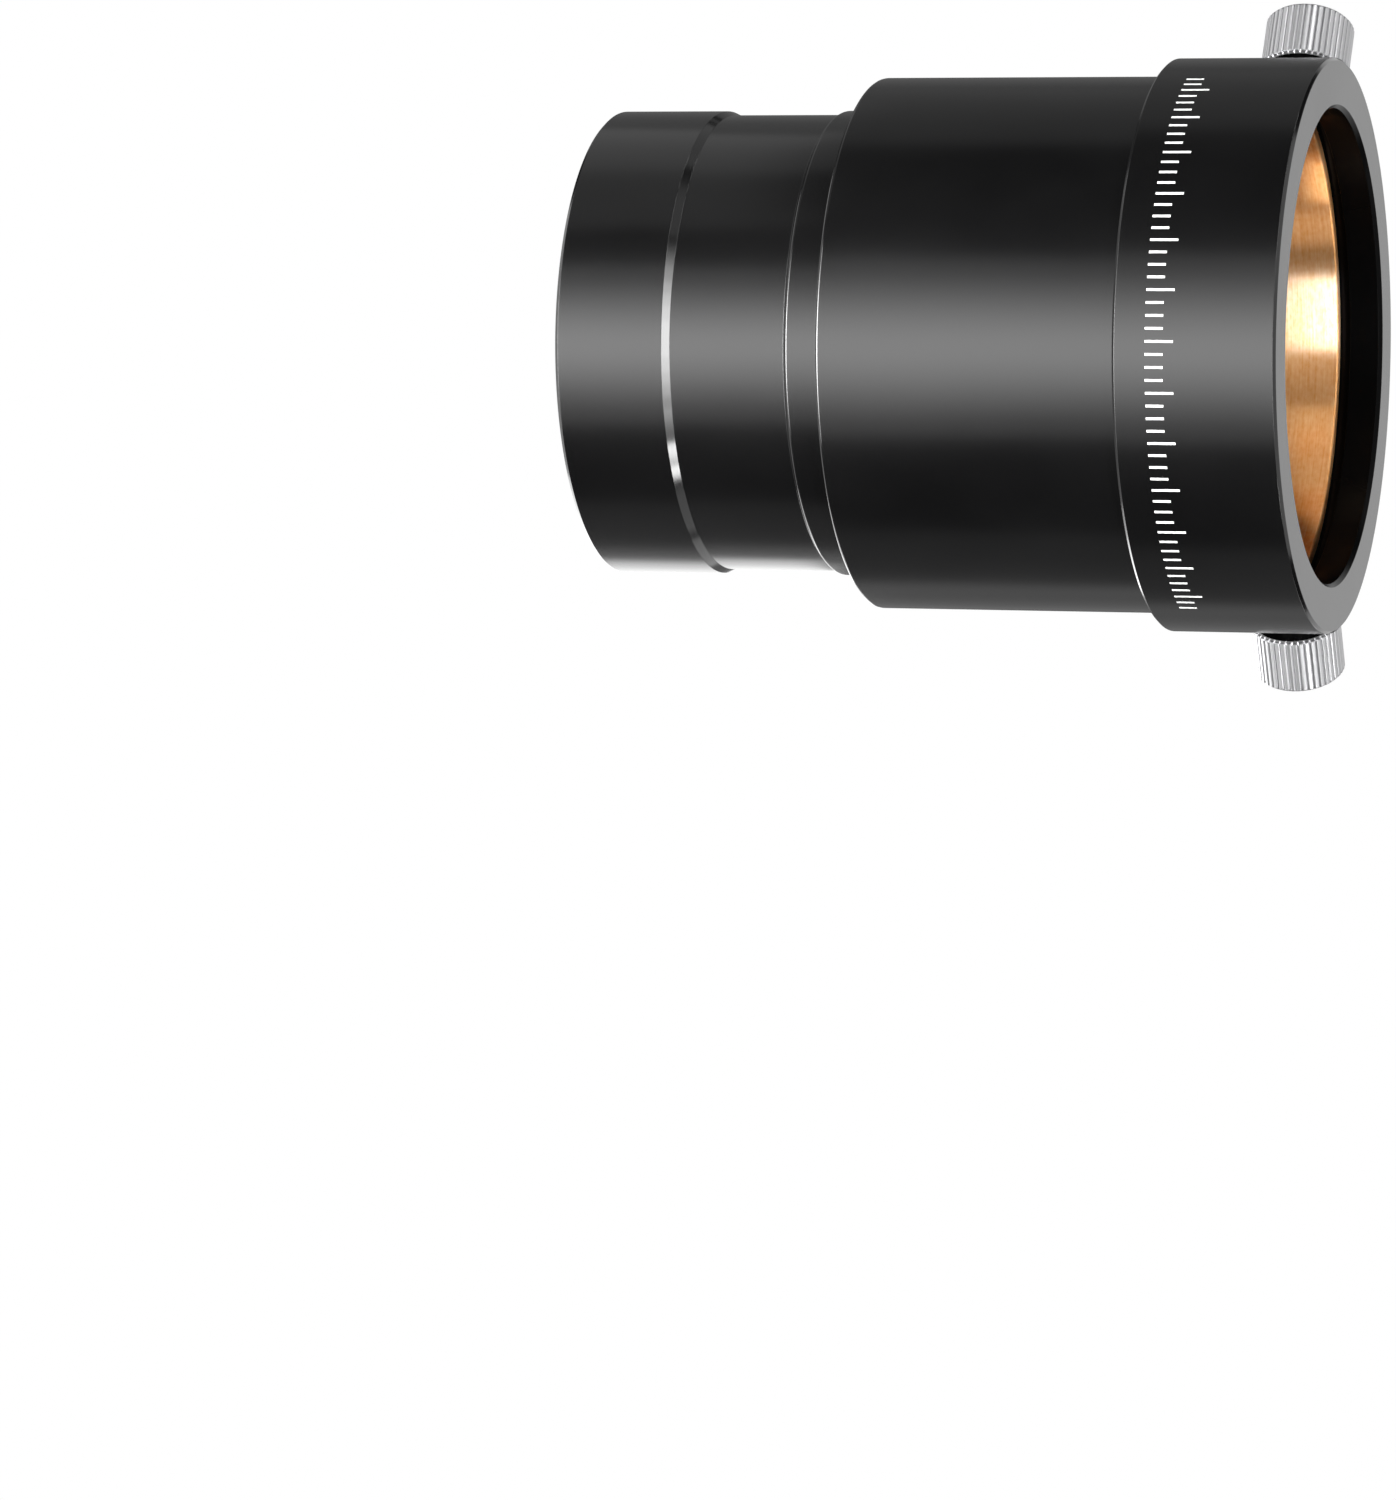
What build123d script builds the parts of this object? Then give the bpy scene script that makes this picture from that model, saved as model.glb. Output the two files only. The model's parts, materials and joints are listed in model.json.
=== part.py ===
"""A 2 inch telescope extension tube, which adds 50 mm of optical path.

The tube stands on the mouth of its nosepiece.  The origin is the centre of that mouth, +Z runs
along the optical axis towards the eyepiece socket, and the two thumbscrews lie on the +Y side.
All lengths are in millimetres.
"""
import os
from math import cos, radians, sin

from build123d import *

# ---- The optical axis, from the mouth upwards ----
SHOULDER_Z = 30.0        # the nosepiece ends and the body begins
COLLAR_Z = 62.6          # the body ends and the clamping collar begins
LENGTH = 80.0            # the collar's front face, 50 mm above the shoulder
BARREL_STOP_Z = 37.0     # an inserted eyepiece barrel bottoms here

# ---- Nosepiece: a 2 inch barrel with a safety undercut ----
NOSE_RADIUS = 25.4
UNDERCUT_RADIUS = 24.95
UNDERCUT_START = 12.0    # foot of the long bevel near the mouth
UNDERCUT_BEVEL = 0.85
UNDERCUT_END = 25.8      # top of the short bevel near the shoulder
UNDERCUT_LIP = 0.35
MOUTH_CHAMFER = 0.4
APERTURE_RADIUS = 23.3   # clear aperture between the light ridges
RIDGE_ROOT_RADIUS = 23.65
RIDGE_PITCH = 1.0
RIDGE_WIDTH = 0.7
RIDGE_START = 8.2
RIDGE_COUNT = 28
FILTER_MINOR_RADIUS = 23.6    # M48 x 0.75 filter thread
FILTER_MAJOR_RADIUS = 24.0
FILTER_PITCH = 0.75
FILTER_GROOVE = 0.5
FILTER_START = 0.7
FILTER_TURNS = 7
FILTER_RELIEF_Z = (6.2, 7.4)  # run-out groove above the thread
NOSE_SPIGOT_RADIUS = 25.0     # M50 spigot screwed into the body

# ---- Body and collar ----
BODY_RADIUS = 28.95
BODY_SPIGOT_RADIUS = 28.0     # M56 spigot screwed into the collar
BODY_SPIGOT_LENGTH = 5.0
COLLAR_RADIUS = 30.9
SOCKET_RADIUS = 25.5          # slides over a 25.4 mm barrel
SOCKET_CHAMFER = 0.4
EDGE_CHAMFER = 0.3
THREAD_GAP = 0.05             # radial room in the two screwed joints
FOOT_GROOVE_WIDTH = 0.2       # V-groove in the body's foot, close round the barrel
FOOT_GROOVE_DEPTH = 0.1
SPIGOT_END_GAP = 0.2
GROOVE_RADIUS = 27.5          # groove that holds the compression ring
GROOVE_Z = (68.6, 76.4)

# ---- Compression ring ----
RING_INNER_RADIUS = 25.7
RING_OUTER_RADIUS = 26.9
RING_Z = (68.65, 75.05)
RING_GAP = 3.0                # the split, on the side away from the screws
RING_EDGE = 0.15

# ---- Thumbscrews: a knurled head on an M4 x 0.7 stud ----
SCREW_Z = 72.5
SCREW_AZIMUTHS = {"left": 150.0, "right": 30.0}   # degrees from +X towards +Y
STUD_RADIUS = 1.95
STUD_ROOT_RADIUS = 1.6
STUD_PITCH = 0.7
STUD_TIP = 27.9               # distances from the optical axis
STUD_THREAD_START = 28.4
STUD_THREAD_TURNS = 8
STUD_END = 39.5
DOG_POINT_RADIUS = 1.45
SCREW_HOLE_RADIUS = 2.0
SCREW_HOLE_CHAMFER = 0.3
HEAD_START = 34.5
HEAD_LENGTH = 6.5
HEAD_RADIUS = 4.85
HEAD_BORE_LENGTH = 5.2
KNURL_TEETH = 44
KNURL_DEPTH = 0.12
KNURL_CREST = 0.5             # share of a tooth's pitch that is flat at the crest
KNURL_ROOT = 0.06             # share that is flat at the root
HEAD_OUTER_CHAMFER = 0.3
HEAD_INNER_CHAMFER = 0.35
HEAD_DIMPLE_RADIUS = 3.4      # shallow turned recess in the head's outer end
HEAD_DIMPLE_DEPTH = 0.25


def v_grooves(crest, root, start, pitch, width, count):
    """Points up a wall of radius crest that is cut with V-grooves down to radius root."""
    points = []
    for i in range(count):
        z = start + i * pitch
        points += [(crest, z), (root, z + width / 2), (crest, z + width)]
    return points


def knurl_outline():
    """Corners of the knurled head's section, four to a tooth."""
    corners = []
    tooth = 360 / KNURL_TEETH
    root = HEAD_RADIUS - KNURL_DEPTH
    for i in range(KNURL_TEETH):
        middle = i * tooth
        for radius, turn in (
            (root, middle - tooth * (1 - KNURL_ROOT) / 2),
            (HEAD_RADIUS, middle - tooth * KNURL_CREST / 2),
            (HEAD_RADIUS, middle + tooth * KNURL_CREST / 2),
            (root, middle + tooth * (1 - KNURL_ROOT) / 2),
        ):
            corners.append((radius * cos(radians(turn)), radius * sin(radians(turn))))
    return corners


def outward(azimuth):
    """Unit vector from the optical axis along a thumbscrew."""
    return Vector(cos(radians(azimuth)), sin(radians(azimuth)), 0)


def across_plane(azimuth, distance):
    """Plane across a thumbscrew's axis, at a distance from the optical axis."""
    direction = outward(azimuth)
    centre = direction * distance + Vector(0, 0, SCREW_Z)
    return Plane(origin=centre, x_dir=(0, 0, 1), z_dir=direction)


def along_plane(azimuth):
    """Plane through a thumbscrew's axis: local x runs outwards, local y runs up."""
    direction = outward(azimuth)
    return Plane(
        origin=(0, 0, SCREW_Z), x_dir=direction, z_dir=direction.cross(Vector(0, 0, 1))
    )


def screw_axis(azimuth):
    """A thumbscrew's own axis."""
    return Axis((0, 0, SCREW_Z), outward(azimuth))


os.makedirs("parts", exist_ok=True)

# ---- Nosepiece: slides into a focuser or a diagonal, with a filter thread in its mouth ----
nose_outside = [
    (NOSE_RADIUS - MOUTH_CHAMFER, 0),
    (NOSE_RADIUS, MOUTH_CHAMFER),
    (NOSE_RADIUS, UNDERCUT_START),
    (UNDERCUT_RADIUS, UNDERCUT_START + UNDERCUT_BEVEL),
    (UNDERCUT_RADIUS, UNDERCUT_END - UNDERCUT_LIP),
    (NOSE_RADIUS, UNDERCUT_END),
    (NOSE_RADIUS, SHOULDER_Z),
    (NOSE_SPIGOT_RADIUS, SHOULDER_Z),
    (NOSE_SPIGOT_RADIUS, BARREL_STOP_Z - EDGE_CHAMFER),
    (NOSE_SPIGOT_RADIUS - EDGE_CHAMFER, BARREL_STOP_Z),
]
filter_thread = v_grooves(
    FILTER_MINOR_RADIUS, FILTER_MAJOR_RADIUS, FILTER_START, FILTER_PITCH, FILTER_GROOVE, FILTER_TURNS
)
light_ridges = v_grooves(
    APERTURE_RADIUS, RIDGE_ROOT_RADIUS, RIDGE_START, RIDGE_PITCH, RIDGE_WIDTH, RIDGE_COUNT
)
nose_inside = (
    [(FILTER_MAJOR_RADIUS + 0.1, 0), (FILTER_MINOR_RADIUS, FILTER_MAJOR_RADIUS + 0.1 - FILTER_MINOR_RADIUS)]
    + filter_thread
    + [(FILTER_MINOR_RADIUS, FILTER_RELIEF_Z[0]), (FILTER_MAJOR_RADIUS, FILTER_RELIEF_Z[0])]
    + [(FILTER_MAJOR_RADIUS, FILTER_RELIEF_Z[1]), (APERTURE_RADIUS, FILTER_RELIEF_Z[1])]
    + light_ridges
    + [(APERTURE_RADIUS, BARREL_STOP_Z)]
)
with BuildPart() as nosepiece:
    with BuildSketch(Plane.XZ):
        with BuildLine():
            Polyline(*nose_outside, *reversed(nose_inside), close=True)
        make_face()
    revolve(axis=Axis.Z)
nosepiece.part.label = "nosepiece"
export_step(nosepiece.part, "parts/nosepiece.step")

# ---- Body tube: a plain tube, screwed onto the nosepiece and into the collar ----
foot_groove = NOSE_RADIUS + 0.02
with BuildPart() as body_tube:
    with BuildSketch(Plane.XZ):
        with BuildLine():
            Polyline(
                (NOSE_SPIGOT_RADIUS + THREAD_GAP, SHOULDER_Z),
                (foot_groove, SHOULDER_Z),
                (foot_groove + FOOT_GROOVE_WIDTH / 2, SHOULDER_Z + FOOT_GROOVE_DEPTH),
                (foot_groove + FOOT_GROOVE_WIDTH, SHOULDER_Z),
                (BODY_RADIUS - EDGE_CHAMFER, SHOULDER_Z),
                (BODY_RADIUS, SHOULDER_Z + EDGE_CHAMFER),
                (BODY_RADIUS, COLLAR_Z),
                (BODY_SPIGOT_RADIUS, COLLAR_Z),
                (BODY_SPIGOT_RADIUS, COLLAR_Z + BODY_SPIGOT_LENGTH - EDGE_CHAMFER),
                (BODY_SPIGOT_RADIUS - EDGE_CHAMFER, COLLAR_Z + BODY_SPIGOT_LENGTH),
                (SOCKET_RADIUS, COLLAR_Z + BODY_SPIGOT_LENGTH),
                (SOCKET_RADIUS, BARREL_STOP_Z),
                (NOSE_SPIGOT_RADIUS + THREAD_GAP, BARREL_STOP_Z),
                close=True,
            )
        make_face()
    revolve(axis=Axis.Z)
body_tube.part.label = "body_tube"
export_step(body_tube.part, "parts/body_tube.step")

# ---- Clamping collar: holds the compression ring in a groove, with two tapped radial holes ----
recess_top = COLLAR_Z + BODY_SPIGOT_LENGTH + SPIGOT_END_GAP
with BuildPart() as clamp_collar:
    with BuildSketch(Plane.XZ):
        with BuildLine():
            Polyline(
                (BODY_SPIGOT_RADIUS + THREAD_GAP, COLLAR_Z),
                (COLLAR_RADIUS - EDGE_CHAMFER, COLLAR_Z),
                (COLLAR_RADIUS, COLLAR_Z + EDGE_CHAMFER),
                (COLLAR_RADIUS, LENGTH - EDGE_CHAMFER),
                (COLLAR_RADIUS - EDGE_CHAMFER, LENGTH),
                (SOCKET_RADIUS + SOCKET_CHAMFER, LENGTH),
                (SOCKET_RADIUS, LENGTH - SOCKET_CHAMFER),
                (SOCKET_RADIUS, GROOVE_Z[1]),
                (GROOVE_RADIUS, GROOVE_Z[1]),
                (GROOVE_RADIUS, GROOVE_Z[0]),
                (SOCKET_RADIUS, GROOVE_Z[0]),
                (SOCKET_RADIUS, recess_top),
                (BODY_SPIGOT_RADIUS + THREAD_GAP, recess_top),
                close=True,
            )
        make_face()
    revolve(axis=Axis.Z)
    for azimuth in SCREW_AZIMUTHS.values():
        with BuildSketch(across_plane(azimuth, SOCKET_RADIUS)):
            Circle(SCREW_HOLE_RADIUS)
        extrude(amount=COLLAR_RADIUS - SOCKET_RADIUS + 1, mode=Mode.SUBTRACT)
        with BuildSketch(along_plane(azimuth)):
            with BuildLine():
                mouth = COLLAR_RADIUS - SCREW_HOLE_RADIUS**2 / (2 * COLLAR_RADIUS)
                Polyline(
                    (mouth - SCREW_HOLE_CHAMFER, 0),
                    (mouth - SCREW_HOLE_CHAMFER, SCREW_HOLE_RADIUS),
                    (mouth + 1, SCREW_HOLE_RADIUS + SCREW_HOLE_CHAMFER + 1),
                    (mouth + 1, 0),
                    close=True,
                )
            make_face()
        revolve(axis=screw_axis(azimuth), mode=Mode.SUBTRACT)
clamp_collar.part.label = "clamp_collar"
export_step(clamp_collar.part, "parts/clamp_collar.step")

# ---- Compression ring: a split brass band, squeezed onto the barrel by the two studs ----
with BuildPart() as compression_ring:
    with BuildSketch(Plane.XZ):
        with BuildLine():
            Polyline(
                (RING_INNER_RADIUS, RING_Z[0] + RING_EDGE),
                (RING_INNER_RADIUS + RING_EDGE, RING_Z[0]),
                (RING_OUTER_RADIUS, RING_Z[0]),
                (RING_OUTER_RADIUS, RING_Z[1]),
                (RING_INNER_RADIUS + RING_EDGE, RING_Z[1]),
                (RING_INNER_RADIUS, RING_Z[1] - RING_EDGE),
                close=True,
            )
        make_face()
    revolve(axis=Axis.Z)
    with Locations((0, -RING_OUTER_RADIUS, (RING_Z[0] + RING_Z[1]) / 2)):
        Box(RING_GAP, 2 * (RING_OUTER_RADIUS - RING_INNER_RADIUS) + 2, 10, mode=Mode.SUBTRACT)
compression_ring.part.label = "compression_ring"
export_step(compression_ring.part, "parts/compression_ring.step")

# ---- Thumbscrews ----
thread_ridges = []
for turn in range(STUD_THREAD_TURNS):
    foot = STUD_THREAD_START + turn * STUD_PITCH
    thread_ridges += [(foot, STUD_ROOT_RADIUS), (foot + STUD_PITCH / 2, STUD_RADIUS)]
shank_start = STUD_THREAD_START + STUD_THREAD_TURNS * STUD_PITCH
head_end = HEAD_START + HEAD_LENGTH

for side, azimuth in SCREW_AZIMUTHS.items():
    with BuildPart() as stud:
        with BuildSketch(along_plane(azimuth)):
            with BuildLine():
                Polyline(
                    (STUD_TIP, 0),
                    (STUD_TIP, DOG_POINT_RADIUS),
                    (STUD_THREAD_START, DOG_POINT_RADIUS),
                    *thread_ridges,
                    (shank_start, STUD_ROOT_RADIUS),
                    (shank_start, STUD_RADIUS),
                    (STUD_END, STUD_RADIUS),
                    (STUD_END, 0),
                    close=True,
                )
            make_face()
        revolve(axis=screw_axis(azimuth))
    stud.part.label = f"{side}_thumbscrew_stud"
    export_step(stud.part, f"parts/{side}_thumbscrew_stud.step")

    with BuildPart() as head:
        with BuildSketch(across_plane(azimuth, HEAD_START)):
            with BuildLine():
                Polyline(*knurl_outline(), close=True)
            make_face()
        extrude(amount=HEAD_LENGTH)
        with BuildSketch(along_plane(azimuth)):
            with BuildLine():
                Polyline(
                    (HEAD_START, 0),
                    (HEAD_START, HEAD_RADIUS - HEAD_INNER_CHAMFER),
                    (HEAD_START + HEAD_INNER_CHAMFER, HEAD_RADIUS),
                    (head_end - HEAD_OUTER_CHAMFER, HEAD_RADIUS),
                    (head_end, HEAD_RADIUS - HEAD_OUTER_CHAMFER),
                    (head_end, HEAD_DIMPLE_RADIUS),
                    (head_end - HEAD_DIMPLE_DEPTH, HEAD_DIMPLE_RADIUS - HEAD_DIMPLE_DEPTH),
                    (head_end - HEAD_DIMPLE_DEPTH, 0),
                    close=True,
                )
            make_face()
        revolve(axis=screw_axis(azimuth), mode=Mode.INTERSECT)
        with BuildSketch(across_plane(azimuth, HEAD_START)):
            Circle(SCREW_HOLE_RADIUS)
        extrude(amount=HEAD_BORE_LENGTH, mode=Mode.SUBTRACT)
    head.part.label = f"{side}_thumbscrew_head"
    export_step(head.part, f"parts/{side}_thumbscrew_head.step")
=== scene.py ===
"""Looks of the telescope extension tube: turned meshes, finishes, floor, lights and camera.

Everything is in metres in the part's own frame.  The tube stands on the mouth of its nosepiece,
+Z runs up the optical axis, and -Y is the side that faces the camera.
"""
import json
import math

import bmesh
import bpy
from mathutils import Matrix, Vector


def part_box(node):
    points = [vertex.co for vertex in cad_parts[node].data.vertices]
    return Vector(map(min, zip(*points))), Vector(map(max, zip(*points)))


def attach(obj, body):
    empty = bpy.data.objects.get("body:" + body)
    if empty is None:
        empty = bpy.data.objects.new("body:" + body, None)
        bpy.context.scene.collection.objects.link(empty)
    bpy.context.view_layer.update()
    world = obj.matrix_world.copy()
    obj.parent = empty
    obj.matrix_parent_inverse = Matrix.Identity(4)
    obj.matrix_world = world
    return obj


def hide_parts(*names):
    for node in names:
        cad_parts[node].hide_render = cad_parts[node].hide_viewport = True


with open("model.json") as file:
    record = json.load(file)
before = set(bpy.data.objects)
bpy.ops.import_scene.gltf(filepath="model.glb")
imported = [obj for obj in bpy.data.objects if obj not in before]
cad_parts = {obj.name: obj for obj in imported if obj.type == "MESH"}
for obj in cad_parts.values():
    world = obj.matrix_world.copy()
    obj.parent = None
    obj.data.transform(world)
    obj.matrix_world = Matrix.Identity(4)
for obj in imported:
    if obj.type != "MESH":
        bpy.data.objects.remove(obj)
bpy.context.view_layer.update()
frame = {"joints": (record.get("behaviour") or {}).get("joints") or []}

MM = 0.001


def outer_radius(node):
    """Largest radius of a turned node about the optical axis."""
    low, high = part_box(node)
    return (high[0] - low[0]) / 2


def heights(node):
    """Lowest and highest point of a node along the optical axis."""
    low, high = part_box(node)
    return low[2], high[2]


# ---- Sizes taken from the frame ----
NOSE_RADIUS = outer_radius("nosepiece")
BODY_RADIUS = outer_radius("body_tube")
COLLAR_RADIUS = outer_radius("clamp_collar")
RING_OUTER_RADIUS = outer_radius("compression_ring")
SHOULDER_Z, BODY_TOP_Z = heights("body_tube")
NOSE_TOP_Z = heights("nosepiece")[1]
COLLAR_Z, LENGTH = heights("clamp_collar")
RING_Z = heights("compression_ring")
SCREWS = {j["name"].split("_")[0]: j for j in frame["joints"] if j["name"].endswith("screw_turn")}

# ---- Sizes repeated from the CAD model ----
UNDERCUT_RADIUS = 24.95 * MM
UNDERCUT_START = 12.0 * MM
UNDERCUT_BEVEL = 0.85 * MM
UNDERCUT_END = 25.8 * MM
UNDERCUT_LIP = 0.35 * MM
MOUTH_CHAMFER = 0.4 * MM
APERTURE_RADIUS = 23.3 * MM
RIDGE_ROOT_RADIUS = 23.65 * MM
RIDGE_START, RIDGE_PITCH, RIDGE_WIDTH, RIDGE_COUNT = 8.2 * MM, 1.0 * MM, 0.7 * MM, 28
FILTER_MINOR_RADIUS = 23.6 * MM
FILTER_MAJOR_RADIUS = 24.0 * MM
FILTER_START, FILTER_PITCH, FILTER_GROOVE, FILTER_TURNS = 0.7 * MM, 0.75 * MM, 0.5 * MM, 7
FILTER_RELIEF_Z = (6.2 * MM, 7.4 * MM)
NOSE_SPIGOT_RADIUS = 25.0 * MM
BODY_SPIGOT_RADIUS = 28.0 * MM
SOCKET_RADIUS = 25.5 * MM
SOCKET_CHAMFER = 0.4 * MM
EDGE_CHAMFER = 0.3 * MM
THREAD_GAP = 0.05 * MM
FOOT_GROOVE_RADIUS = NOSE_RADIUS + 0.02 * MM
FOOT_GROOVE_WIDTH = 0.2 * MM
SPIGOT_END_GAP = 0.2 * MM
GROOVE_RADIUS = 27.5 * MM
GROOVE_Z = (68.6 * MM, 76.4 * MM)
RING_INNER_RADIUS = 25.7 * MM
RING_GAP = 3.0 * MM
RING_EDGE = 0.15 * MM
STUD_TIP, STUD_THREAD_END, STUD_END = 27.9 * MM, 34.2 * MM, 39.5 * MM
STUD_RADIUS, STUD_ROOT_RADIUS, STUD_PITCH = 1.95 * MM, 1.6 * MM, 0.7 * MM
STUD_POINT_RADIUS, STUD_POINT_LENGTH, STUD_POINT_CHAMFER = 1.45 * MM, 0.5 * MM, 0.15 * MM
SCREW_HOLE_RADIUS = 2.0 * MM
SCREW_HOLE_CHAMFER = 0.3 * MM
HEAD_START, HEAD_LENGTH, HEAD_RADIUS = 34.5 * MM, 6.5 * MM, 4.85 * MM
HEAD_BORE_LENGTH = 5.2 * MM
HEAD_OUTER_CHAMFER, HEAD_INNER_CHAMFER = 0.3 * MM, 0.35 * MM
HEAD_DIMPLE_RADIUS, HEAD_DIMPLE_DEPTH = 3.4 * MM, 0.25 * MM
KNURL_TEETH, KNURL_DEPTH = 44, 0.12 * MM
KNURL_CREST_SHARE, KNURL_ROOT_SHARE = 0.5, 0.06

# ---- Fineness and rounding of the meshes ----
TURN_SEGMENTS = 256
TOOTH_SEGMENTS = 16
THREAD_SEGMENTS = 48
HOLE_SEGMENTS = 64
STUDIO_SEGMENTS = 96
ARC_STEPS = 4
EDGE_ROUNDING = 0.08 * MM
SOFT_ROUNDING = 0.4 * MM
HOLD_WIDTH = 0.04 * MM

# ---- Sockets of the Mix node, which has one set for numbers and one for colours ----
MIX_NUMBER_A, MIX_NUMBER_B, MIX_NUMBER_OUT = 2, 3, 0
MIX_COLOUR_A, MIX_COLOUR_B, MIX_COLOUR_OUT = 6, 7, 2


# ======================================================================================
# Mesh tools
# ======================================================================================
def rounded(outline):
    """A closed outline with its corners turned into small arcs, each held by a point beside it.

    A corner is (radius, height), or (radius, height, rounding) to round it more or less.
    """
    largest_arc_share, largest_hold_share = 0.4, 0.1
    result = []
    for i, (r, z, *own) in enumerate(outline):
        corner = Vector((r, z))
        before = Vector(outline[i - 1][:2]) - corner
        after = Vector(outline[(i + 1) % len(outline)][:2]) - corner
        half = before.angle(after) / 2
        shortest = min(before.length, after.length)
        rounding = own[0] if own else EDGE_ROUNDING
        tangent = min(rounding / math.tan(half), largest_arc_share * shortest)
        start, end = before.normalized(), after.normalized()
        centre = corner + (start + end).normalized() * tangent / math.cos(half)
        first = corner + start * tangent - centre
        sweep = first.angle_signed(corner + end * tangent - centre)
        hold = min(HOLD_WIDTH, largest_hold_share * shortest)
        result.append(corner + start * (tangent + hold))
        for step in range(ARC_STEPS + 1):
            turn = Matrix.Rotation(-sweep * step / ARC_STEPS, 2)
            result.append(centre + turn @ first)
        result.append(corner + end * (tangent + hold))
    return result


def new_object(name, data):
    """An object of a mesh, light or camera, put in the scene."""
    made = bpy.data.objects.new(name, data)
    bpy.context.scene.collection.objects.link(made)
    return made


def object_of(name, mesh):
    """An object made from a bmesh, which is freed."""
    data = bpy.data.meshes.new(name)
    mesh.to_mesh(data)
    mesh.free()
    return new_object(name, data)


def skin(name, rows, wrap_rows=False, wrap_columns=True, caps=False):
    """A mesh object through rows of points, with the same number of points in each row."""
    mesh = bmesh.new()
    grid = [[mesh.verts.new(point) for point in row] for row in rows]
    count = len(rows[0])
    for i in range(len(rows) if wrap_rows else len(rows) - 1):
        low, high = grid[i], grid[(i + 1) % len(rows)]
        for j in range(count if wrap_columns else count - 1):
            k = (j + 1) % count
            mesh.faces.new((low[j], low[k], high[k], high[j]))
    if caps and wrap_columns:
        mesh.faces.new(grid[0])
        mesh.faces.new(grid[-1])
    if caps and wrap_rows:
        mesh.faces.new([row[0] for row in grid])
        mesh.faces.new([row[-1] for row in grid])
    bmesh.ops.recalc_face_normals(mesh, faces=mesh.faces)
    return object_of(name, mesh)


def lathe(name, outline, start=0.0, sweep=math.tau):
    """A closed outline of (radius, height) points turned about the optical axis."""
    whole = sweep >= math.tau
    count = TURN_SEGMENTS if whole else TURN_SEGMENTS + 1
    angles = [start + sweep * i / TURN_SEGMENTS for i in range(count)]
    rows = [[(r * math.cos(a), r * math.sin(a), z) for a in angles] for r, z in outline]
    return skin(name, rows, wrap_rows=True, wrap_columns=whole, caps=not whole)


def smooth(made, sharp_degrees=32):
    """Smooth shading that keeps edges steeper than the given angle."""
    made.data.shade_smooth()
    made.data.set_sharp_from_angle(angle=math.radians(sharp_degrees))


def finish_turned(made, body, node):
    """Gives a turned piece its outer, edge and bore finishes, and says what it stands for."""
    for material in (outer_black, edge_black, bore_black):
        made.data.materials.append(material)
    faces_inwards, faces_outwards, is_tilted = -0.3, 0.05, 0.12
    edge_slot, bore_slot = 1, 2
    for face in made.data.polygons:
        radial = Vector((face.center.x, face.center.y, 0)).normalized().dot(face.normal)
        if radial < faces_inwards:
            face.material_index = bore_slot
        elif radial > faces_outwards and abs(face.normal.z) > is_tilted:
            face.material_index = edge_slot
    smooth(made)
    stand_for(made, body, node)


def stand_for(made, body, node):
    """The piece rides on the body and replaces the node."""
    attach(made, body)
    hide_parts(node)


def v_grooves(crest, root, start, pitch, width, count):
    """Points up a wall of radius crest that is cut with V-grooves down to radius root."""
    points = []
    for i in range(count):
        z = start + i * pitch
        points += [(crest, z), (root, z + width / 2), (crest, z + width)]
    return points


# ======================================================================================
# Materials
# ======================================================================================
def add_node(tree, kind, inputs=(), **settings):
    """Adds a shader node, with its settings and its inputs linked or set."""
    made = tree.nodes.new(kind)
    for key, value in settings.items():
        setattr(made, key, value)
    for socket, value in dict(inputs).items():
        if isinstance(value, bpy.types.NodeSocket):
            tree.links.new(value, made.inputs[socket])
        else:
            made.inputs[socket].default_value = value
    return made


def new_material(name, **surface):
    """A material whose Principled shader has the given plain values."""
    made = bpy.data.materials.new(name)
    made.use_nodes = True
    shader = made.node_tree.nodes["Principled BSDF"]
    for socket, value in surface.items():
        shader.inputs[socket.replace("_", " ")].default_value = value
    return made, made.node_tree, shader


def stretched_noise(tree, scale, detail=3.0):
    """Noise in the object's own coordinates, with a different scale along each axis."""
    place = add_node(tree, "ShaderNodeTexCoord").outputs["Object"]
    mapped = add_node(tree, "ShaderNodeMapping", {"Vector": place, "Scale": scale})
    return add_node(
        tree,
        "ShaderNodeTexNoise",
        {"Vector": mapped.outputs["Vector"], "Scale": 1.0, "Detail": detail},
    ).outputs["Fac"]


def ramp(tree, value, low, high):
    """A colour from low to high as value goes from 0.35 to 0.65."""
    made = add_node(tree, "ShaderNodeValToRGB", {"Fac": value})
    made.color_ramp.elements[0].position = 0.35
    made.color_ramp.elements[1].position = 0.65
    made.color_ramp.elements[0].color = (*low, 1)
    made.color_ramp.elements[1].color = (*high, 1)
    return made.outputs["Color"]


def spread(tree, value, low, high):
    """A number from low to high as value goes from 0.3 to 0.7."""
    inputs = {"Value": value, "From Min": 0.3, "From Max": 0.7, "To Min": low, "To Max": high}
    return add_node(tree, "ShaderNodeMapRange", inputs).outputs["Result"]


def bump(tree, height, distance, strength, under=None):
    """Bump of the given depth, over another bump if one is given."""
    inputs = {"Height": height, "Distance": distance, "Strength": strength}
    if under is not None:
        inputs["Normal"] = under
    return add_node(tree, "ShaderNodeBump", inputs).outputs["Normal"]


def anodised(name, dark, light, roughness, **surface):
    """Black anodised aluminium: an even dye, very fine turning marks round the axis, a faint grain."""
    made, tree, shader = new_material(name, **surface)
    smoothest, roughest = 0.95 * roughness, 1.06 * roughness
    grain = stretched_noise(tree, (5200, 5200, 5200), detail=2.0)
    marks = stretched_noise(tree, (60, 60, 9000))
    patches = stretched_noise(tree, (60, 60, 40))
    tree.links.new(ramp(tree, patches, dark, light), shader.inputs["Base Color"])
    tree.links.new(spread(tree, patches, smoothest, roughest), shader.inputs["Roughness"])
    lines = bump(tree, marks, distance=0.0006 * MM, strength=0.3)
    relief = bump(tree, grain, distance=0.0012 * MM, strength=0.4, under=lines)
    tree.links.new(relief, shader.inputs["Normal"])
    return made


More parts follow.
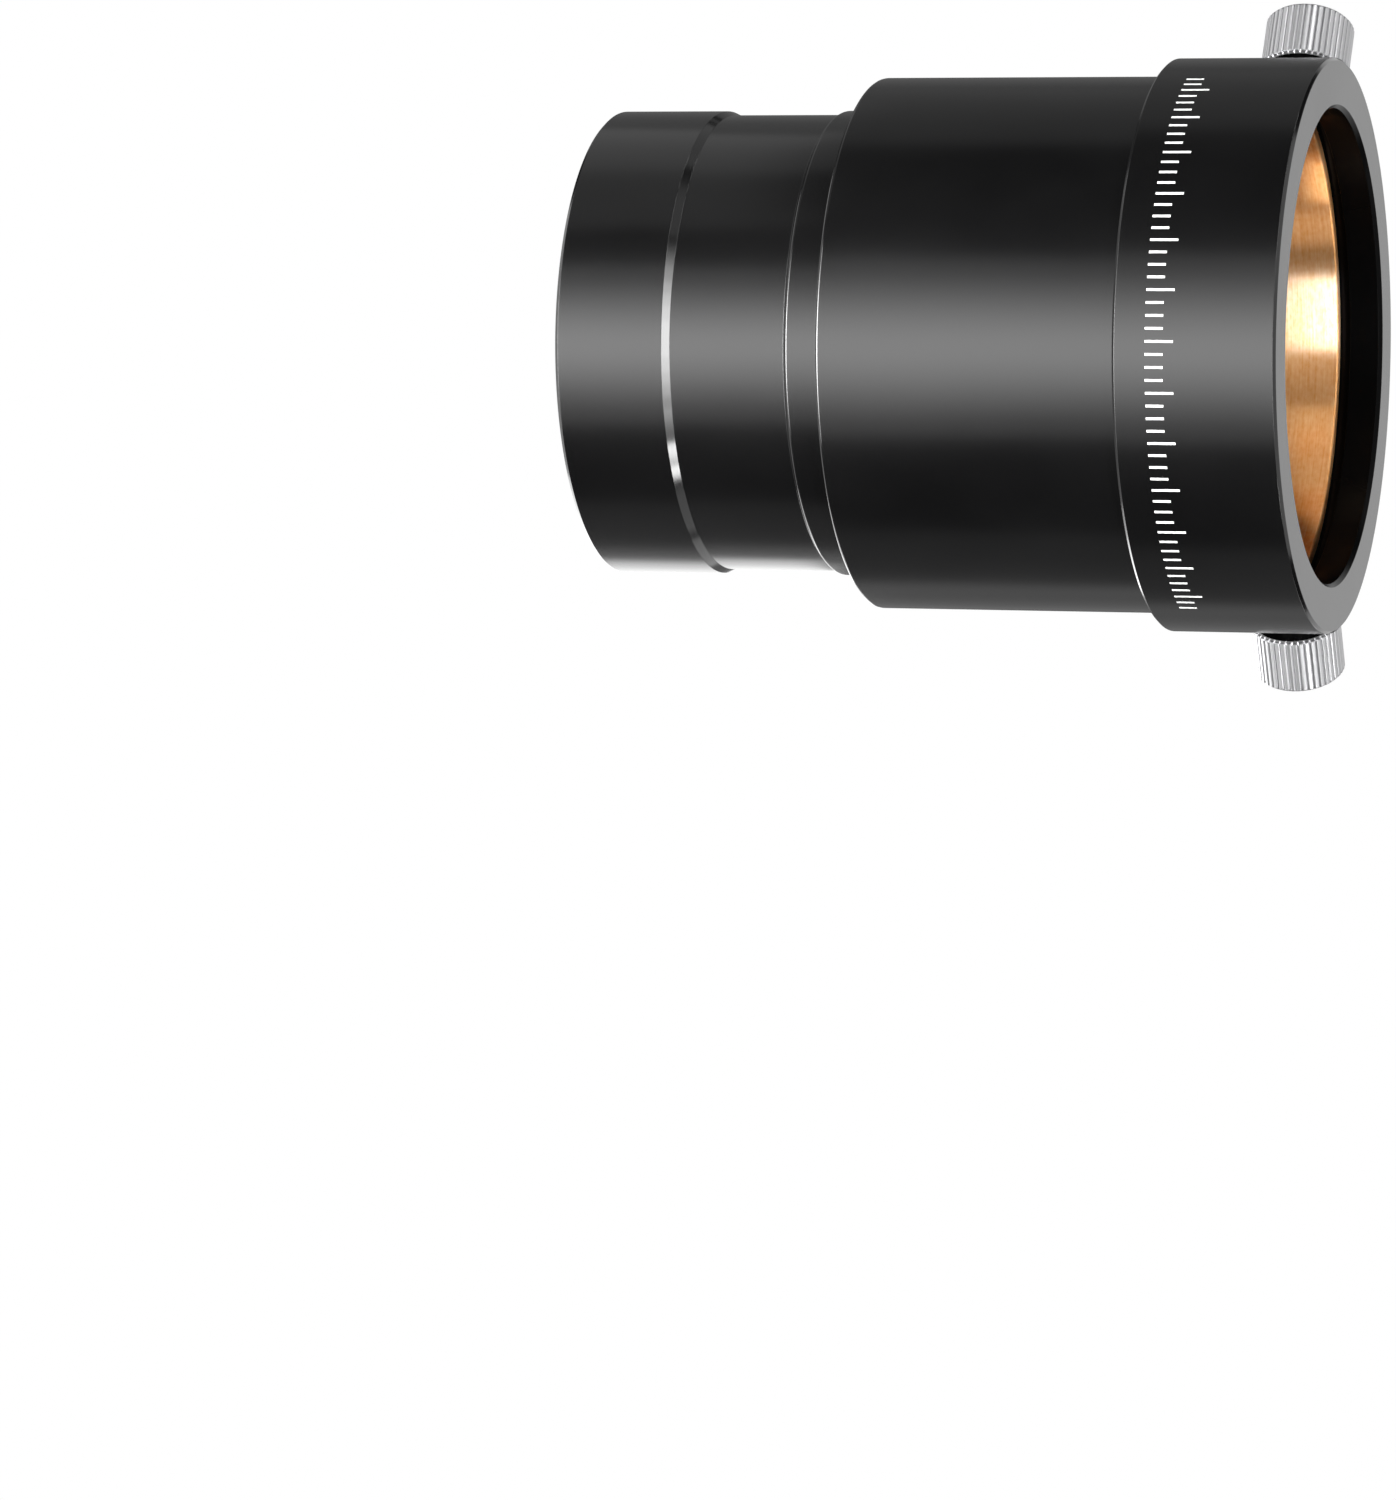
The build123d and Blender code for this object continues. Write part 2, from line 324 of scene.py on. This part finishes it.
def brushed_brass():
    """Brass brushed round the ring: streaks that run round it, between copper and pale gold."""
    made, tree, shader = new_material(
        "brushed_brass", Metallic=1.0, Anisotropic=1.0, Anisotropic_Rotation=0.25
    )
    copper, pale_gold = (0.88, 0.38, 0.11), (0.98, 0.57, 0.26)
    streaks = stretched_noise(tree, (160, 160, 5200), detail=4.0)
    flecks = stretched_noise(tree, (1500, 1500, 2600))
    blend = {"Factor": 0.45, MIX_NUMBER_A: streaks, MIX_NUMBER_B: flecks}
    mixed = add_node(tree, "ShaderNodeMix", blend).outputs[MIX_NUMBER_OUT]
    tree.links.new(ramp(tree, mixed, copper, pale_gold), shader.inputs["Base Color"])
    tree.links.new(spread(tree, streaks, 0.29, 0.31), shader.inputs["Roughness"])
    tree.links.new(bump(tree, mixed, distance=0.003 * MM, strength=0.025), shader.inputs["Normal"])
    around = add_node(tree, "ShaderNodeTangent", direction_type="RADIAL", axis="Z")
    tree.links.new(around.outputs["Tangent"], shader.inputs["Tangent"])
    return made


def plated_knurl():
    """Bright plating over a knurl, with painted shade darkening the roots, and fine lines along the
    head.
    """
    made, tree, shader = new_material("plated_knurl", Metallic=1.0)
    # The roots take a darker colour than the crests: painted shade in the knurl's creases.
    root_painted_shade, crest_colour = (0.26, 0.26, 0.27, 1), (0.56, 0.56, 0.57, 1)
    root_radius = HEAD_RADIUS - KNURL_DEPTH
    crest_radius = HEAD_RADIUS - 0.3 * KNURL_DEPTH
    hub_radius = HEAD_RADIUS - 1.6 * KNURL_DEPTH
    place = add_node(tree, "ShaderNodeTexCoord").outputs["Object"]
    parts = add_node(tree, "ShaderNodeSeparateXYZ", {"Vector": place})
    flat = add_node(tree, "ShaderNodeCombineXYZ", {"Y": parts.outputs["Y"], "Z": parts.outputs["Z"]})
    length = {0: flat.outputs["Vector"]}
    radius = add_node(tree, "ShaderNodeVectorMath", length, operation="LENGTH").outputs["Value"]
    rise = {"Value": radius, "From Min": root_radius, "From Max": crest_radius}
    height = add_node(tree, "ShaderNodeMapRange", rise).outputs["Result"]
    within = {0: radius, 1: hub_radius}
    hub = add_node(tree, "ShaderNodeMath", within, operation="LESS_THAN").outputs["Value"]
    either = {0: height, 1: hub}
    crest = add_node(tree, "ShaderNodeMath", either, operation="MAXIMUM").outputs["Value"]
    blend = {"Factor": crest, MIX_COLOUR_A: root_painted_shade, MIX_COLOUR_B: crest_colour}
    colour = add_node(tree, "ShaderNodeMix", blend, data_type="RGBA").outputs[MIX_COLOUR_OUT]
    tree.links.new(colour, shader.inputs["Base Color"])
    drawn = stretched_noise(tree, (9, 2200, 2200))
    tree.links.new(spread(tree, drawn, 0.38, 0.46), shader.inputs["Roughness"])
    tree.links.new(bump(tree, drawn, distance=0.002 * MM, strength=0.2), shader.inputs["Normal"])
    return made


def thread_steel():
    """Bright rolled steel with a little oil in the thread."""
    made, tree, shader = new_material("thread_steel", Metallic=1.0)
    oiled, bright = (0.30, 0.29, 0.28), (0.58, 0.58, 0.58)
    rolled = stretched_noise(tree, (3800, 1500, 1500))
    tree.links.new(ramp(tree, rolled, oiled, bright), shader.inputs["Base Color"])
    tree.links.new(spread(tree, rolled, 0.22, 0.4), shader.inputs["Roughness"])
    tree.links.new(bump(tree, rolled, distance=0.006 * MM, strength=0.6), shader.inputs["Normal"])
    return made


def printed_ink():
    """Matt white printing ink, a little thin in places."""
    made, tree, shader = new_material("printed_ink", Roughness=0.55)
    thin, thick = (0.70, 0.70, 0.69), (0.88, 0.88, 0.87)
    cover = stretched_noise(tree, (2400, 2400, 2400))
    tree.links.new(ramp(tree, cover, thin, thick), shader.inputs["Base Color"])
    tree.links.new(bump(tree, cover, distance=0.006 * MM, strength=0.4), shader.inputs["Normal"])
    return made


outer_black = anodised(
    "anodised_black", (0.0012, 0.0012, 0.0013), (0.0022, 0.0022, 0.0023), roughness=0.22, IOR=1.6
)
edge_black = anodised(
    "anodised_edge", (0.0014, 0.0014, 0.0015), (0.0026, 0.0026, 0.0027), roughness=0.13, IOR=1.6
)
bore_black = anodised(
    "anodised_bore", (0.0010, 0.0010, 0.0010), (0.0018, 0.0018, 0.0019), roughness=0.22, IOR=1.12
)


# ======================================================================================
# The tube
# ======================================================================================
def make_nosepiece():
    """2 inch barrel with a safety undercut outside, a filter thread and light ridges inside."""
    mouth_flare = 0.1 * MM
    outside = [
        (NOSE_RADIUS - MOUTH_CHAMFER, 0),
        (NOSE_RADIUS, MOUTH_CHAMFER),
        (NOSE_RADIUS, UNDERCUT_START),
        (UNDERCUT_RADIUS, UNDERCUT_START + UNDERCUT_BEVEL),
        (UNDERCUT_RADIUS, UNDERCUT_END - UNDERCUT_LIP),
        (NOSE_RADIUS, UNDERCUT_END, SOFT_ROUNDING),
        (NOSE_RADIUS, SHOULDER_Z),
        (NOSE_SPIGOT_RADIUS, SHOULDER_Z),
        (NOSE_SPIGOT_RADIUS, NOSE_TOP_Z - EDGE_CHAMFER),
        (NOSE_SPIGOT_RADIUS - EDGE_CHAMFER, NOSE_TOP_Z),
        (APERTURE_RADIUS, NOSE_TOP_Z),
    ]
    thread = v_grooves(
        FILTER_MINOR_RADIUS, FILTER_MAJOR_RADIUS, FILTER_START, FILTER_PITCH, FILTER_GROOVE, FILTER_TURNS
    )
    ridges = v_grooves(
        APERTURE_RADIUS, RIDGE_ROOT_RADIUS, RIDGE_START, RIDGE_PITCH, RIDGE_WIDTH, RIDGE_COUNT
    )
    relief = [
        (FILTER_MINOR_RADIUS, FILTER_RELIEF_Z[0]),
        (FILTER_MAJOR_RADIUS, FILTER_RELIEF_Z[0]),
        (FILTER_MAJOR_RADIUS, FILTER_RELIEF_Z[1]),
        (APERTURE_RADIUS, FILTER_RELIEF_Z[1]),
    ]
    flare_height = FILTER_MAJOR_RADIUS + mouth_flare - FILTER_MINOR_RADIUS
    mouth = [(FILTER_MAJOR_RADIUS + mouth_flare, 0), (FILTER_MINOR_RADIUS, flare_height)]
    skirt = rounded([(APERTURE_RADIUS, 0)] + outside)
    corner_points = 1 + 2 + ARC_STEPS
    inside = mouth + thread + relief + ridges
    made = lathe("barrel", skirt[corner_points:-corner_points] + outside[-1:] + inside[::-1])
    finish_turned(made, "housing", "nosepiece")


def make_body():
    """Plain tube with a step at both ends."""
    outline = [
        (NOSE_SPIGOT_RADIUS + THREAD_GAP, SHOULDER_Z),
        (FOOT_GROOVE_RADIUS, SHOULDER_Z),
        (FOOT_GROOVE_RADIUS + FOOT_GROOVE_WIDTH / 2, SHOULDER_Z + FOOT_GROOVE_WIDTH / 2),
        (FOOT_GROOVE_RADIUS + FOOT_GROOVE_WIDTH, SHOULDER_Z),
        (BODY_RADIUS, SHOULDER_Z, SOFT_ROUNDING),
        (BODY_RADIUS, COLLAR_Z),
        (BODY_SPIGOT_RADIUS, COLLAR_Z),
        (BODY_SPIGOT_RADIUS, BODY_TOP_Z - EDGE_CHAMFER),
        (BODY_SPIGOT_RADIUS - EDGE_CHAMFER, BODY_TOP_Z),
        (SOCKET_RADIUS, BODY_TOP_Z),
        (SOCKET_RADIUS, NOSE_TOP_Z),
        (NOSE_SPIGOT_RADIUS + THREAD_GAP, NOSE_TOP_Z),
    ]
    made = lathe("tube_body", rounded(outline))
    finish_turned(made, "housing", "body_tube")


def screw_place(side):
    """Matrix of a thumbscrew: local X runs outwards from the optical axis, local Z runs up."""
    joint = SCREWS[side]
    out = -Vector(joint["axis"]).normalized()
    up = Vector((0, 0, 1))
    turn = Matrix((out, up.cross(out), up)).transposed().to_4x4()
    return Matrix.Translation((0, 0, joint["pos_m"][2])) @ turn


def round_rows(stations, count):
    """Rows of points round local X, one for each (distance, radius) station."""
    angles = [math.tau * i / count for i in range(count)]
    return [[(x, r * math.cos(a), r * math.sin(a)) for a in angles] for x, r in stations]


def drill(made, side):
    """Cuts a thumbscrew's countersunk hole through a piece."""
    mouth = COLLAR_RADIUS - SCREW_HOLE_RADIUS**2 / (2 * COLLAR_RADIUS)
    beyond = 1.0 * MM
    stations = [
        (SOCKET_RADIUS, SCREW_HOLE_RADIUS),
        (mouth - SCREW_HOLE_CHAMFER, SCREW_HOLE_RADIUS),
        (mouth + beyond, SCREW_HOLE_RADIUS + SCREW_HOLE_CHAMFER + beyond),
    ]
    cutter = skin("cutter", round_rows(stations, HOLE_SEGMENTS), caps=True)
    cutter.matrix_world = screw_place(side)
    cut = made.modifiers.new("hole", "BOOLEAN")
    cut.object = cutter
    cut.operation = "DIFFERENCE"
    cut.solver = "EXACT"
    graph = bpy.context.evaluated_depsgraph_get()
    result = bpy.data.meshes.new_from_object(made.evaluated_get(graph))
    made.modifiers.clear()
    made.data = result
    bpy.data.objects.remove(cutter)


def make_collar():
    """Clamping collar with the ring's groove and the two screw holes."""
    recess_top = BODY_TOP_Z + SPIGOT_END_GAP
    outline = [
        (BODY_SPIGOT_RADIUS + THREAD_GAP, COLLAR_Z),
        (COLLAR_RADIUS - EDGE_CHAMFER, COLLAR_Z),
        (COLLAR_RADIUS, COLLAR_Z + EDGE_CHAMFER),
        (COLLAR_RADIUS, LENGTH - EDGE_CHAMFER),
        (COLLAR_RADIUS - EDGE_CHAMFER, LENGTH),
        (SOCKET_RADIUS + SOCKET_CHAMFER, LENGTH),
        (SOCKET_RADIUS, LENGTH - SOCKET_CHAMFER),
        (SOCKET_RADIUS, GROOVE_Z[1]),
        (GROOVE_RADIUS, GROOVE_Z[1]),
        (GROOVE_RADIUS, GROOVE_Z[0]),
        (SOCKET_RADIUS, GROOVE_Z[0]),
        (SOCKET_RADIUS, recess_top),
        (BODY_SPIGOT_RADIUS + THREAD_GAP, recess_top),
    ]
    made = lathe("collar", rounded(outline))
    for side in SCREWS:
        drill(made, side)
    finish_turned(made, "housing", "clamp_collar")


def make_compression_ring():
    """Split brass band, open on the side away from the screws."""
    outline = [
        (RING_INNER_RADIUS, RING_Z[0] + RING_EDGE),
        (RING_INNER_RADIUS + RING_EDGE, RING_Z[0]),
        (RING_OUTER_RADIUS, RING_Z[0]),
        (RING_OUTER_RADIUS, RING_Z[1]),
        (RING_INNER_RADIUS + RING_EDGE, RING_Z[1]),
        (RING_INNER_RADIUS, RING_Z[1] - RING_EDGE),
    ]
    half_gap = math.asin(RING_GAP / (RING_INNER_RADIUS + RING_OUTER_RADIUS))
    split = -math.pi / 2
    made = lathe("brass_band", rounded(outline), split + half_gap, math.tau - 2 * half_gap)
    made.data.materials.append(brushed_brass())
    smooth(made)
    stand_for(made, "compression_ring", "compression_ring")
    return made


# ======================================================================================
# Thumbscrews
# ======================================================================================
def tooth_height(teeth):
    """Height of the knurl, from 0 at a root to 1 at a crest, this many teeth round the head."""
    from_root = 0.5 - abs((teeth + 0.5) % 1.0 - 0.5)
    flank = (1 - KNURL_CREST_SHARE - KNURL_ROOT_SHARE) / 2
    return max(0.0, min(1.0, (from_root - KNURL_ROOT_SHARE / 2) / flank))


def head_outline():
    """(distance, largest radius) from the end of the head's bore, over its outside, to its dimple."""
    bore_flare, ease, hold, land, middle = 0.1 * MM, 0.03 * MM, 0.05 * MM, 0.2 * MM, 0.4 * MM
    inner_rim = HEAD_RADIUS - HEAD_INNER_CHAMFER
    outer_rim = HEAD_RADIUS - HEAD_OUTER_CHAMFER
    crest_start = HEAD_START + HEAD_INNER_CHAMFER
    end = HEAD_START + HEAD_LENGTH
    crest_end = end - HEAD_OUTER_CHAMFER
    floor = end - HEAD_DIMPLE_DEPTH
    floor_radius = HEAD_DIMPLE_RADIUS - HEAD_DIMPLE_DEPTH
    return [
        (HEAD_START + HEAD_BORE_LENGTH, SCREW_HOLE_RADIUS),
        (HEAD_START + bore_flare, SCREW_HOLE_RADIUS),
        (HEAD_START, SCREW_HOLE_RADIUS + bore_flare),
        (HEAD_START, inner_rim - hold),
        (HEAD_START + ease, inner_rim + ease),
        (crest_start, HEAD_RADIUS),
        (crest_start + land, HEAD_RADIUS),
        (crest_end - land, HEAD_RADIUS),
        (crest_end, HEAD_RADIUS),
        (end - ease, outer_rim + ease),
        (end, outer_rim - hold),
        (end, HEAD_DIMPLE_RADIUS + hold),
        (end - ease, HEAD_DIMPLE_RADIUS),
        (floor + ease, floor_radius),
        (floor, floor_radius - hold),
        (floor, middle),
    ]


def make_head(side, finishes):
    """Straight-knurled head with a turned recess in its end and a bore for the stud; its end face
    towards the collar is painted black as painted shade.
    """
    count = KNURL_TEETH * TOOTH_SEGMENTS
    root = HEAD_RADIUS - KNURL_DEPTH
    knurl = [root + KNURL_DEPTH * tooth_height(i / TOOTH_SEGMENTS) for i in range(count)]
    angles = [math.tau * i / count for i in range(count)]
    rows = []
    for x, limit in head_outline():
        radii = [min(limit, tooth) for tooth in knurl]
        rows.append([(x, r * math.cos(a), r * math.sin(a)) for r, a in zip(radii, angles)])
    made = skin(f"{side}_knurled_head", rows, caps=True)
    for finish in finishes:
        made.data.materials.append(finish)
    # The end face towards the collar takes the bore's black: painted shade under the head, not a finish
    # of its own.
    faces_the_collar, painted_shade_slot = -0.9, 1
    for face in made.data.polygons:
        if face.normal.x < faces_the_collar and face.center.x < HEAD_START + HEAD_INNER_CHAMFER:
            face.material_index = painted_shade_slot
    smooth(made, sharp_degrees=40)
    made.matrix_world = screw_place(side)
    stand_for(made, f"{side}_head", f"{side}_thumbscrew_head")


def thread_row(x, fade):
    """Points round a stud at a distance along it, on a helical thread of a share of its full depth."""
    flank_slope = 2.2
    row = []
    for i in range(THREAD_SEGMENTS):
        share = i / THREAD_SEGMENTS
        turn = (x / STUD_PITCH - share) % 1.0
        height = min(1.0, flank_slope * min(turn, 1 - turn)) * fade
        radius = STUD_ROOT_RADIUS + (STUD_RADIUS - STUD_ROOT_RADIUS) * height
        row.append((x, radius * math.cos(math.tau * share), radius * math.sin(math.tau * share)))
    return row


def make_stud(side, finish):
    """M4 stud with a helical thread and a plain point."""
    steps_per_turn, steps_to_full_depth = 12, 8
    step = STUD_PITCH / steps_per_turn
    thread_start = STUD_TIP + STUD_POINT_LENGTH
    point = [
        (STUD_TIP, STUD_POINT_RADIUS - STUD_POINT_CHAMFER),
        (STUD_TIP + STUD_POINT_CHAMFER, STUD_POINT_RADIUS),
    ]
    shank = [(STUD_THREAD_END + step, STUD_RADIUS), (STUD_END, STUD_RADIUS)]
    rows = round_rows(point, THREAD_SEGMENTS)
    for i in range(int((STUD_THREAD_END - thread_start) / step) + 1):
        rows.append(thread_row(thread_start + i * step, min(1.0, i / steps_to_full_depth)))
    rows += round_rows(shank, THREAD_SEGMENTS)
    made = skin(f"{side}_threaded_stud", rows, caps=True)
    made.data.materials.append(finish)
    smooth(made, sharp_degrees=50)
    made.matrix_world = screw_place(side)
    stand_for(made, f"{side}_stud", f"{side}_thumbscrew_stud")


# ======================================================================================
# Printed scale, which stands in place of the maker's legend
# ======================================================================================
def print_patch(mesh, azimuth, half_width, low, high):
    """Adds a thin patch of ink on the collar, at an azimuth in degrees from -Y towards +X."""
    sunk, proud = 0.02 * MM, 0.025 * MM
    middle = math.radians(azimuth - 90)
    half = half_width / COLLAR_RADIUS
    corners = []
    for radius in (COLLAR_RADIUS - sunk, COLLAR_RADIUS + proud):
        for angle, z in (
            (middle - half, low),
            (middle + half, low),
            (middle + half, high),
            (middle - half, high),
        ):
            corners.append(mesh.verts.new((radius * math.cos(angle), radius * math.sin(angle), z)))
    for side in ((0, 1, 2, 3), (4, 5, 6, 7), (0, 1, 5, 4), (1, 2, 6, 5), (2, 3, 7, 6), (3, 0, 4, 7)):
        mesh.faces.new([corners[i] for i in side])


def make_scale():
    """Plain graduations round the near side of the collar, with a longer mark every tenth degree."""
    base = COLLAR_Z + 3.6 * MM
    spacing, marks_each_way, marks_per_long_one = 2.5, 26, 4
    long_mark, short_mark, half_width = 3.0 * MM, 1.9 * MM, 0.13 * MM
    mesh = bmesh.new()
    for i in range(-marks_each_way, marks_each_way + 1):
        length = short_mark if i % marks_per_long_one else long_mark
        print_patch(mesh, i * spacing, half_width, base, base + length)
    bmesh.ops.recalc_face_normals(mesh, faces=mesh.faces)
    made = object_of("printed_scale", mesh)
    made.data.materials.append(printed_ink())
    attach(made, "housing")


make_nosepiece()
make_body()
make_collar()
brass_band = make_compression_ring()
# The second of these is the bore's black, put on the heads' undersides as painted shade.
head_finish_and_painted_shade = (plated_knurl(), bore_black)
stud_finish = thread_steel()
for screw_side in SCREWS:
    make_head(screw_side, head_finish_and_painted_shade)
    make_stud(screw_side, stud_finish)
make_scale()


# ======================================================================================
# Floor, backdrop, lights and camera
# ======================================================================================
VIEW_AZIMUTH = -2.8
STUDIO_RADIUS = 2.2
WALL_HEIGHT = 0.6


def toward(azimuth, elevation, distance):
    """A point seen from the tube: azimuth in degrees from the view's side towards +X, elevation."""
    turn, rise = math.radians(azimuth + VIEW_AZIMUTH), math.radians(elevation)
    across = distance * math.cos(rise)
    return Vector((across * math.sin(turn), -across * math.cos(turn), distance * math.sin(rise)))


def make_studio():
    """An evenly glowing white floor and low wall, which cast and mirror nothing."""
    black, white = (0, 0, 0, 1), (1, 1, 1, 1)
    surface = {"Base_Color": black, "Specular_IOR_Level": 0, "Roughness": 1}
    paper = new_material("backdrop_glow", Emission_Color=white, Emission_Strength=1.0, **surface)[0]
    angles = [math.tau * i / STUDIO_SEGMENTS for i in range(STUDIO_SEGMENTS)]
    rim = [(STUDIO_RADIUS * math.cos(a), STUDIO_RADIUS * math.sin(a)) for a in angles]
    mesh = bmesh.new()
    mesh.faces.new([mesh.verts.new((x, y, 0)) for x, y in rim])
    floor = object_of("floor", mesh)
    wall = skin("wall", [[(x, y, 0) for x, y in rim], [(x, y, WALL_HEIGHT) for x, y in rim]])
    for piece in (floor, wall):
        piece.data.materials.append(paper)
        piece.visible_glossy = False
        piece.visible_diffuse = False
        piece.visible_shadow = False


def softbox(name, azimuth, elevation, distance, width, height, radiance, shape="RECTANGLE"):
    """An area light of an even radiance, turned to face the tube."""
    data = bpy.data.lights.new(name, "AREA")
    data.shape = shape
    data.size, data.size_y = width, height
    area = width * height * (math.pi / 4 if shape == "DISK" else 1)
    data.energy = radiance * math.pi * area
    made = new_object(name, data)
    offset = toward(azimuth, elevation, distance)
    made.location = offset + Vector((0, 0, LENGTH / 2))
    made.rotation_euler = (-offset).to_track_quat("-Z", "Y").to_euler()
    made.visible_camera = False
    return made


def feathered(name, azimuth, elevation, distance, height, radiance, feather):
    """Softboxes of falling width behind each other, whose light fades sideways as a bell curve.

    feather is the standard deviation of that curve in degrees.
    """
    layers, gap = 6, 0.02
    for layer in range(layers):
        half = feather * math.sqrt(-2 * math.log((layer + 0.5) / layers))
        away = distance + gap * layer
        width = 2 * away * math.tan(math.radians(half))
        softbox(f"{name}_{layer}", azimuth, elevation, away, width, height, radiance / layers)


def light_only(piece, lights):
    """Lets the lights reach nothing but one piece."""
    receivers = bpy.data.collections.new(f"{piece.name}_lights")
    receivers.objects.link(piece)
    for light in lights:
        light.light_linking.receiver_collection = receivers


# The numbers of a softbox are its azimuth, elevation, distance, width, height and radiance.
# A feathered one has no width of its own.
def light_undercut():
    """Lights high in front, which the bevel and the fine edges round the nosepiece mirror."""
    feathered("bevel_strip", 2, 38, 1.0, 0.14, 17.5, feather=19)
    softbox("bevel_mid_left", -45, 36, 1.0, 0.24, 0.1, 2.6)
    softbox("bevel_near_right", 49, 35, 1.0, 0.26, 0.1, 4.5)
    softbox("bevel_right", 65.5, 31, 1.0, 0.22, 0.09, 22.0)
    softbox("bevel_mid_right", 75.2, 28.5, 1.0, 0.12, 0.09, 24.0)
    softbox("bevel_far_right", 102, 20, 1.0, 0.6, 0.2, 0.9)
    softbox("bevel_end_right", 136, 6, 1.0, 0.7, 0.24, 1.2)
    softbox("bevel_left", -76, 28, 1.0, 0.7, 0.2, 0.5)
    softbox("bevel_end_left", -120, 12, 1.0, 0.9, 0.3, 0.4)


def light_ring():
    """Lights just above the rim, for the bands on the brass, and the knurled heads."""
    cool_enough_for_cream_on_brass = (0.3, 0.5, 1)
    softbox("ring_front", 20.5, 15, 0.98, 0.6, 0.2, 8.0)
    ring_glow = softbox("ring_glow", 20, 15, 0.98, 0.62, 0.2, 44.0)
    ring_glow.data.color = cool_enough_for_cream_on_brass
    softbox("ring_left", -50, 16, 1.0, 0.84, 0.14, 7.2)
    softbox("ring_far_left", -88, 11, 1.0, 0.42, 0.08, 8.0)
    softbox("ring_right", 52, 18, 1.0, 0.5, 0.17, 0.3)
    ring_far_right = softbox("ring_far_right", 93, 12, 1.0, 0.48, 0.13, 24.0)
    light_only(brass_band, (ring_glow, ring_far_right))
    softbox("ring_end_right", 124, 20, 1.0, 0.5, 0.1, 2.0)


def light_surroundings():
    """Weak large cards above, behind and low at the sides, for the silhouettes."""
    softbox("overhead", 0, 90, 1.0, 2.2, 2.2, 0.9, shape="DISK")
    softbox("behind", 180, 17, 1.6, 2.0, 1.0, 0.85)
    softbox("low_left", -115, -17, 0.9, 0.8, 0.6, 0.19)
    softbox("low_right", 115, -17, 0.9, 0.8, 0.6, 0.14)
    softbox("edge_left", -160, -17, 0.9, 0.6, 0.6, 0.17)
    softbox("edge_right", 150, -17, 0.9, 0.7, 0.6, 0.26)


def light_underside():
    """Lights below the floor, which the rounded lower edges mirror."""
    feathered("under_strip", 4, -46, 0.9, 0.27, 36.0, feather=16)
    softbox("below", 0, -90, 0.82, 1.3, 1.3, 1.2, shape="DISK")
    softbox("below_right", 142, -42, 0.6, 0.5, 0.25, 3.0)
    softbox("nose_left", -85, -32, 0.15, 0.18, 0.06, 0.3)
    softbox("nose_right", 157, -32, 0.15, 0.1, 0.06, 1.8)


def make_lights():
    """A tall feathered strip in front for the long highlight, the other lights, and a faint air."""
    feathered("front_strip", 5, -25, 1.15, 1.4, 4.0, feather=16.5)
    light_undercut()
    light_ring()
    light_surroundings()
    light_underside()
    world = bpy.data.worlds.new("studio_air")
    world.use_nodes = True
    background = world.node_tree.nodes["Background"]
    background.inputs["Color"].default_value = (1, 1, 1, 1)
    background.inputs["Strength"].default_value = 0.03
    bpy.context.scene.world = world


def make_camera():
    """A long lens looking down a little, rolled so that the tube lies on its side."""
    elevation, roll, distance = 16.82, 91.41, 756.5 * MM
    aim = Vector((45.0 * MM, 0, 9.6 * MM))
    aim.rotate(Matrix.Rotation(math.radians(VIEW_AZIMUTH), 3, "Z"))
    back = toward(0, elevation, distance)
    data = bpy.data.cameras.new("camera")
    data.lens = 164.5
    data.sensor_width = 36.0
    data.clip_start = 0.01
    data.clip_end = 20
    made = new_object("camera", data)
    made.location = aim + back
    upright = (-back).to_track_quat("-Z", "Y").to_matrix()
    made.rotation_euler = (upright @ Matrix.Rotation(math.radians(roll), 3, "Z")).to_euler()
    bpy.context.scene.camera = made


make_studio()
make_lights()
make_camera()
bpy.context.scene.view_settings.view_transform = "Standard"
